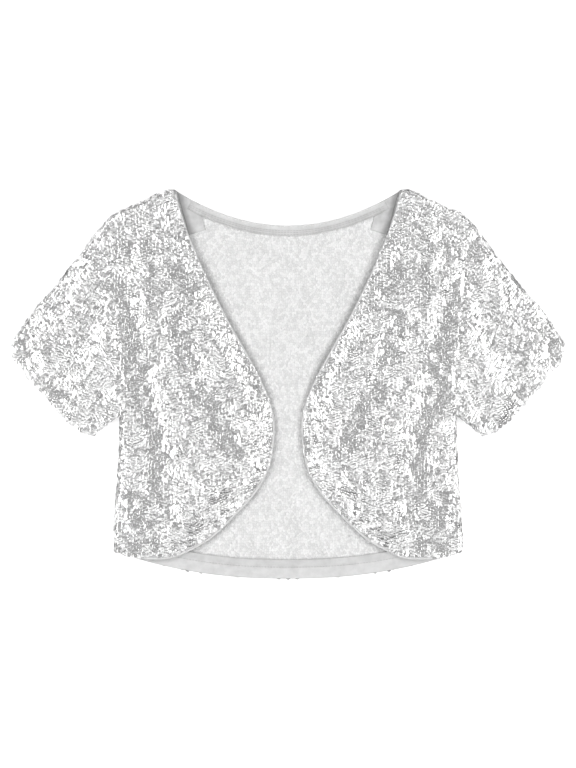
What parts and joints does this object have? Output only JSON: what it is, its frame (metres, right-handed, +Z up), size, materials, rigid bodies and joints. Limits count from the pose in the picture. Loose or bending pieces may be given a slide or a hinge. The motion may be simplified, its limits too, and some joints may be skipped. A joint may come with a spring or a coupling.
{
  "type": "cropped open-front sequined jacket laid flat",
  "caption": "Short open-front bolero jacket in silver sequined cloth with short sleeves and rounded front edges, laid flat on its back.",
  "frame": {"origin": "centre of the garment's outline as laid, on the surface that it rests on", "axes": "+X across the garment from sleeve to sleeve, +Y from hem to neck, +Z up off the surface, through the fronts"},
  "size_m": [0.5812, 0.409, 0.0136],
  "materials": {
    "sequins": "shiny silver sequins",
    "ground_mesh": "wrong side of a sequined mesh",
    "facing": "smooth matt strip",
    "binding": "satin rolled edge"
  },
  "bodies": {
    "root": {"back": "ground_mesh", "front_left": "sequins", "front_right": "sequins", "sleeve_left": "sequins", "sleeve_right": "sequins", "front_binding_left": "binding", "front_binding_right": "binding", "neck_facing": "facing", "hem_facing": "facing"}
  },
  "joints": []
}
